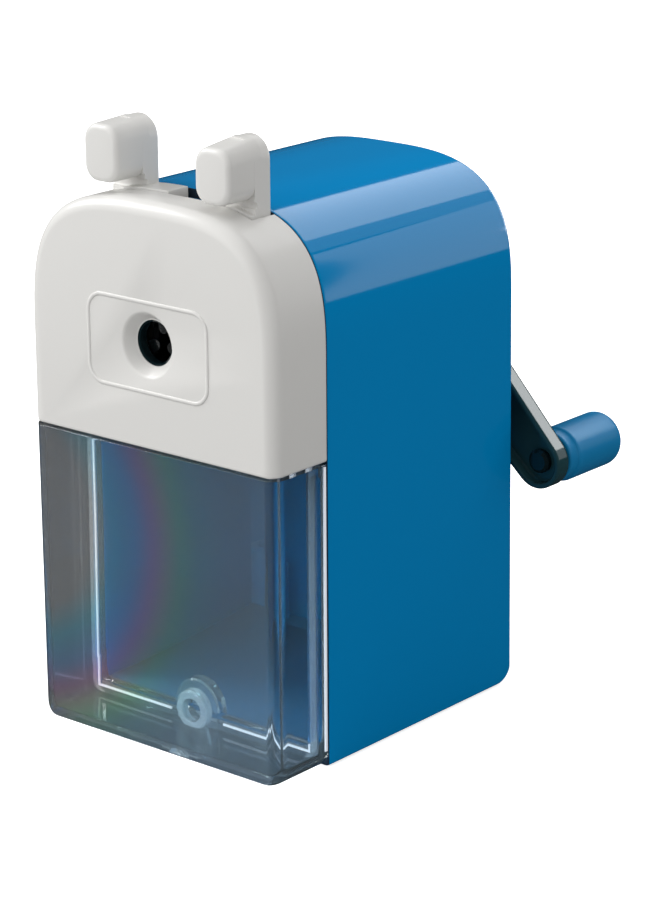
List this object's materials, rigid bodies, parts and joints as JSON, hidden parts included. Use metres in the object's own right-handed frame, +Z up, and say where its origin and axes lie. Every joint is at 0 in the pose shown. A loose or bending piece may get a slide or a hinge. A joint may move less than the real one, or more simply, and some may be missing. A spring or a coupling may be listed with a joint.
{
  "type": "crank pencil sharpener",
  "caption": "Desk pencil sharpener: arched case, pull-out face plate with pinch levers and jaw chuck, clear shavings drawer, rear crank driving a milling cutter.",
  "frame": {"origin": "on the table, under the middle of the body (the crank not counted), at the underside of the rubber mat", "axes": "+Z up, -Y towards the pencil hole and the drawer front, +Y towards the crank, +X to the right seen from the front"},
  "size_m": [0.0727, 0.1003, 0.1234],
  "materials": {
    "blue_gloss": "glossy blue ABS",
    "white_satin": "satin white ABS",
    "black_gloss": "glossy black plastic",
    "grey_plastic": "matt grey nylon",
    "mat_rubber": "matt",
    "steel": "bright steel",
    "brass": "machined",
    "smoke_clear": "clear smoke-tinted styrene"
  },
  "bodies": {
    "case": {"case_shell": "blue_gloss", "base_plate": "grey_plastic", "base_mat": "mat_rubber", "base_screw_1": "steel", "base_screw_2": "steel", "front_frame": "black_gloss", "ring_gear": "brass", "rear_bush": "black_gloss", "rod_bush_left": "brass", "rod_bush_right": "brass", "return_spring_left": "steel", "return_spring_right": "steel"},
    "carriage": {"face_plate": "white_satin", "chuck_plate": "steel", "jaw_pin_1": "steel", "jaw_pin_2": "steel", "jaw_pin_3": "steel", "guide_rod_left": "steel", "guide_rod_right": "steel", "rod_stop_left": "black_gloss", "rod_stop_right": "black_gloss"},
    "lever_left": {"lever_left": "white_satin"},
    "lever_right": {"lever_right": "white_satin"},
    "jaw_1": {"jaw_1": "steel"},
    "jaw_2": {"jaw_2": "steel"},
    "jaw_3": {"jaw_3": "steel"},
    "drawer": {"drawer_body": "smoke_clear"},
    "crank": {"crank_shaft": "steel", "cutter_carrier": "grey_plastic", "cutter_pin": "steel", "crank_arm": "black_gloss", "arm_screw": "steel", "knob_rivet": "black_gloss"},
    "knob": {"knob": "blue_gloss"},
    "cutter": {"cutter": "steel", "pinion": "brass"}
  },
  "joints": [
    {"name": "carriage_slide", "type": "slide", "parent": "case", "child": "carriage", "axis": [0, -1, 0], "range_m": [0, 0.03], "stiffness_N_per_m": 100, "springref_m": -0.01, "deforming": ["return_spring_left", "return_spring_right"]},
    {"name": "lever_left_turn", "type": "hinge", "parent": "carriage", "child": "lever_left", "pos_m": [0, -0.0239, 0.083], "axis": [0, 1, 0], "range_deg": [0, 12], "stiffness_Nm_per_rad": 0.2, "springref_deg": -5.73},
    {"name": "lever_right_turn", "type": "hinge", "parent": "carriage", "child": "lever_right", "pos_m": [0, -0.0239, 0.083], "axis": [0, 1, 0], "range_deg": [-12, 0]},
    {"name": "jaw_1_turn", "type": "hinge", "parent": "carriage", "child": "jaw_1", "pos_m": [0, -0.0308, 0.0914], "axis": [0, 1, 0], "range_deg": [0, 45]},
    {"name": "jaw_2_turn", "type": "hinge", "parent": "carriage", "child": "jaw_2", "pos_m": [-0.00728, -0.0308, 0.0788], "axis": [0, 1, 0], "range_deg": [0, 45]},
    {"name": "jaw_3_turn", "type": "hinge", "parent": "carriage", "child": "jaw_3", "pos_m": [0.00728, -0.0308, 0.0788], "axis": [0, 1, 0], "range_deg": [0, 45]},
    {"name": "drawer_slide", "type": "slide", "parent": "case", "child": "drawer", "axis": [0, -1, 0], "range_m": [0, 0.06]},
    {"name": "crank_turn", "type": "hinge", "parent": "case", "child": "crank", "pos_m": [0, 0.0342, 0.083], "axis": [0, 1, 0], "continuous": true},
    {"name": "knob_spin", "type": "hinge", "parent": "crank", "child": "knob", "pos_m": [0.0354, 0.0534, 0.04797], "axis": [0, 1, 0], "continuous": true},
    {"name": "cutter_spin", "type": "hinge", "parent": "crank", "child": "cutter", "pos_m": [0, -0.0158, 0.09474], "axis": [0, 0.9829, -0.184], "continuous": true}
  ],
  "couplings": [
    {"joint": "lever_right_turn", "follows": "lever_left_turn", "ratio": -1},
    {"joint": "jaw_1_turn", "follows": "lever_left_turn", "ratio": 3.75},
    {"joint": "jaw_2_turn", "follows": "lever_left_turn", "ratio": 3.75},
    {"joint": "jaw_3_turn", "follows": "lever_left_turn", "ratio": 3.75},
    {"joint": "cutter_spin", "follows": "crank_turn", "ratio": -3.2308}
  ]
}
